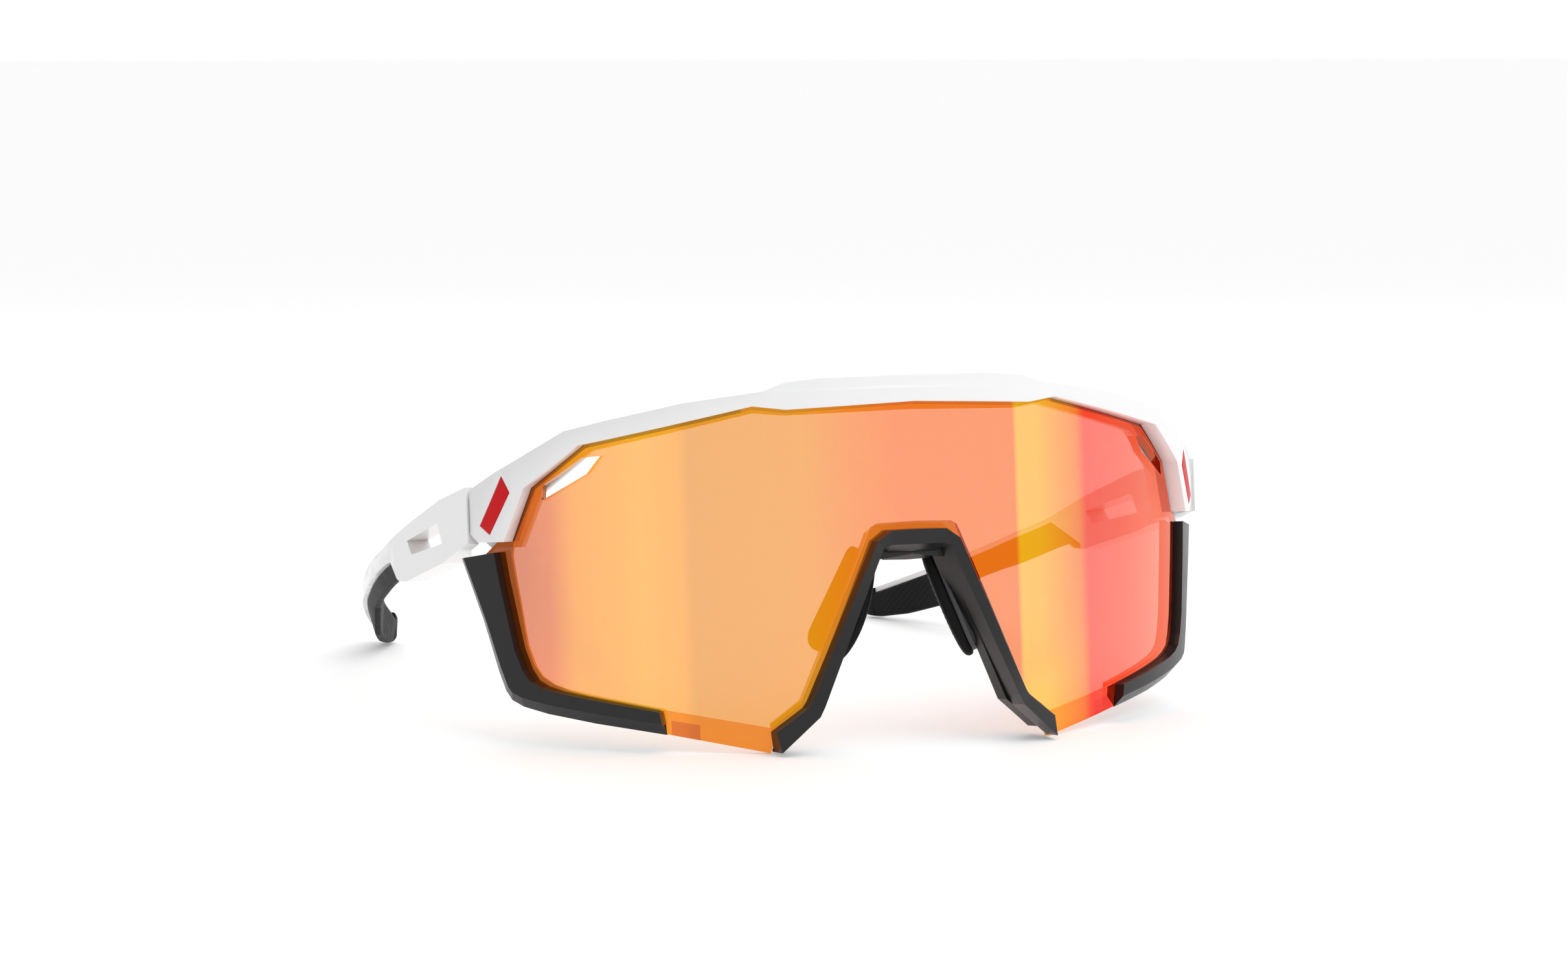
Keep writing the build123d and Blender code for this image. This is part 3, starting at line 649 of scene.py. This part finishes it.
def build_room(scene, studio):
    """White room and two large soft lights.

    The room is seen and mirrored as full white. Only the light that it casts on matt
    surfaces is dimmer, and dimmest from the left.
    """
    world = bpy.data.worlds.new("white_room")
    scene.world = world
    world.use_nodes = True
    room = Finish("white_room", {}, world.node_tree)
    ray = room.node("ShaderNodeLightPath", output="Is Camera Ray")
    ray = ray + room.node("ShaderNodeLightPath", output="Is Glossy Ray")
    ray = room.node("ShaderNodeMath", {"operation": "MINIMUM"}, {0: ray, 1: 1.0})
    way = room.node("ShaderNodeTexCoord", output="Generated")
    side = room.node("ShaderNodeSeparateXYZ", values={0: way}, output=0)
    values = {"Value": side, "From Min": -1.0, "From Max": 0.1, "To Min": 0.3, "To Max": 0.95}
    dim = room.node("ShaderNodeMapRange", {"interpolation_type": "SMOOTHSTEP"}, values)
    strength = ray + (1 - ray) * dim * studio.sky
    background = world.node_tree.nodes["Background"]
    background.inputs["Color"].default_value = (1, 1, 1, 1)
    room.link(background.inputs["Strength"], strength)
    for name, spot, size, share in LAMPS:
        lamp = bpy.data.lights.new(name, "AREA")
        lamp.energy = studio.key_power * share
        lamp.size = size
        light = bpy.data.objects.new(name, lamp)
        scene.collection.objects.link(light)
        light.location = spot
        light.rotation_euler = Vector(spot).to_track_quat("Z", "Y").to_euler()


CAMERA_PLACE = (-278.05, -663.11, 125.14)  # in mm, before the move home
CAMERA_TURN = math.radians(-20.77)
CAMERA_RISE = math.radians(6.26)


def build_camera(scene, studio):
    """Camera in front of the glasses, a little above them and to the left."""
    lens = bpy.data.cameras.new("camera")
    lens.lens = studio.focal
    lens.sensor_width = 36
    lens.clip_start = 0.01
    lens.clip_end = VIEW_END
    camera = bpy.data.objects.new("camera", lens)
    scene.collection.objects.link(camera)
    camera.location = (Vector(CAMERA_PLACE) + Vector((0, HOME_Y, HOME_Z))) * MM
    flat = math.cos(CAMERA_RISE)
    across, forward = math.sin(CAMERA_TURN) * flat, -math.cos(CAMERA_TURN) * flat
    back = Vector((across, forward, math.sin(CAMERA_RISE)))
    camera.rotation_euler = back.to_track_quat("Z", "Y").to_euler()
    scene.camera = camera


class SUNGLASSES_OT_lens(bpy.types.Operator):
    """Mirror coating of the shield lens."""

    bl_idname = "sunglasses.lens"
    bl_label = "Shield lens"

    def execute(self, context):
        lens = context.scene.sunglasses.lens
        dress("shield_lens", lens_finish(lens))
        return {"FINISHED"}


INLAY_BEVEL = 0.03  # mm


class SUNGLASSES_OT_frame(bpy.types.Operator):
    """Gloss white of the brow frame and arms, with the painted inlays."""

    bl_idname = "sunglasses.frame"
    bl_label = "Brow frame and arms"

    def execute(self, context):
        parts = context.scene.sunglasses.frame
        white = moulded(
            "frame_white", parts.white, roughness=0.17, spread=0.012,
            grain=900, grain_depth=0.000012, **{"Coat Weight": 0.25},
        )  # fmt: skip
        for node in ("brow_frame", "temple_left", "temple_right"):
            dress(node, white)
            soften(node, parts.bevel)
        inlay = moulded(
            "badge_red", parts.accent, roughness=0.4, spread=0.06,
            grain=1500, grain_depth=0.00001, **{"Specular IOR Level": 0.2},
        )  # fmt: skip
        for node in ("badge_left", "badge_right"):
            dress(node, inlay)
            soften(node, INLAY_BEVEL)
        return {"FINISHED"}


class SUNGLASSES_OT_rims(bpy.types.Operator):
    """Satin black of the two lower rims and the nose bridge."""

    bl_idname = "sunglasses.rims"
    bl_label = "Lower rims and nose bridge"

    def execute(self, context):
        parts = context.scene.sunglasses.frame
        black = moulded(
            "rim_black", parts.black, roughness=0.3, spread=0.12,
            grain=2600, grain_depth=0.000015, **{"Specular IOR Level": 0.35},
        )  # fmt: skip
        for node in ("lower_rim_left", "lower_rim_right", "nose_bridge"):
            dress(node, black)
        return {"FINISHED"}


class SUNGLASSES_OT_hinges(bpy.types.Operator):
    """Steel screws, turned metal barrels, wire cores and the stiff pad plates."""

    bl_idname = "sunglasses.hinges"
    bl_label = "Hinges, cores and plates"

    def execute(self, context):
        steel = context.scene.sunglasses.frame.steel
        screw = moulded(
            "screw_steel", steel, roughness=0.26, spread=0.04,
            grain=1800, grain_depth=0.000006, Metallic=1.0,
        )  # fmt: skip
        barrel = moulded(
            "bush_metal", (0.55, 0.53, 0.5), roughness=0.33, spread=0.05,
            grain=1500, grain_depth=0.000008, Metallic=1.0,
        )  # fmt: skip
        wire = moulded(
            "core_wire", (0.45, 0.45, 0.46), roughness=0.38, spread=0.05,
            grain=1500, grain_depth=0.000008, Metallic=1.0,
        )  # fmt: skip
        plate = moulded(
            "stiff_insert", (0.05, 0.05, 0.052), roughness=0.45, spread=0.08,
            grain=1600, grain_depth=0.00001,
        )  # fmt: skip
        for end in ("left", "right"):
            dress(f"hinge_screw_{end}", screw)
            dress(f"hinge_bush_{end}", barrel)
            dress(f"temple_core_{end}", wire)
            dress(f"nose_pad_plate_{end}", plate)
        return {"FINISHED"}


def rubber_finish(soft):
    """Soft rubber: matte, with a fine pebbled skin."""
    return moulded(
        "soft_black", soft.rubber, roughness=0.5, spread=0.15,
        grain=2200, grain_depth=0.00003, **{"Specular IOR Level": 0.1},
    )  # fmt: skip


class SUNGLASSES_OT_pads(bpy.types.Operator):
    """Crowned soft nose pads."""

    bl_idname = "sunglasses.pads"
    bl_label = "Nose pads"

    def execute(self, context):
        soft = context.scene.sunglasses.soft
        material = rubber_finish(soft)
        for end, side in (("left", -1), ("right", 1)):
            pad = outward(shell(f"soft_pad_{end}", pad_surface(side, soft.pad_thick), material))
            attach(pad, "nose")
            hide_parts(f"nose_pad_{end}")
        return {"FINISHED"}


class SUNGLASSES_OT_sleeves(bpy.types.Operator):
    """Soft rubber sleeves under and inside the arm tips."""

    bl_idname = "sunglasses.sleeves"
    bl_label = "Arm sleeves"

    def execute(self, context):
        soft = context.scene.sunglasses.soft
        material = rubber_finish(soft)
        for end, side in (("left", -1), ("right", 1)):
            points = sleeve_surface(side, soft.stations, soft.sleeve_round, soft.grip_depth)
            sleeve = outward(shell(f"soft_sleeve_{end}", points, material))
            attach(sleeve, f"arm_{end}")
            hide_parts(f"temple_sleeve_{end}")
        return {"FINISHED"}


class SUNGLASSES_PT_panel(bpy.types.Panel):
    """Steps and sizes of the sunglasses."""

    bl_label = "Sunglasses"
    bl_idname = "SUNGLASSES_PT_panel"
    bl_space_type = "VIEW_3D"
    bl_region_type = "UI"
    bl_category = "Sunglasses"

    def draw(self, context):
        column = self.layout.column(align=True)
        for step in STEPS:
            column.operator(f"sunglasses.{step}")
        for group in ("lens", "frame", "soft", "studio"):
            owner = getattr(context.scene.sunglasses, group)
            box = self.layout.box()
            for name in owner.bl_rna.properties.keys():
                if name not in ("rna_type", "name"):
                    box.prop(owner, name)


STEPS = ("stage", "lens", "frame", "rims", "hinges", "pads", "sleeves")
CLASSES = (
    SunglassesLens,
    SunglassesFrame,
    SunglassesSoft,
    SunglassesStudio,
    SunglassesSettings,
    SUNGLASSES_OT_stage,
    SUNGLASSES_OT_lens,
    SUNGLASSES_OT_frame,
    SUNGLASSES_OT_rims,
    SUNGLASSES_OT_hinges,
    SUNGLASSES_OT_pads,
    SUNGLASSES_OT_sleeves,
    SUNGLASSES_PT_panel,
)


def register():
    for cls in CLASSES:
        bpy.utils.register_class(cls)
    bpy.types.Scene.sunglasses = PointerProperty(type=SunglassesSettings)


def unregister():
    del bpy.types.Scene.sunglasses
    for cls in reversed(CLASSES):
        bpy.utils.unregister_class(cls)


def main():
    register()
    for step in STEPS:
        getattr(bpy.ops.sunglasses, step)()


if __name__ == "__main__":
    main()
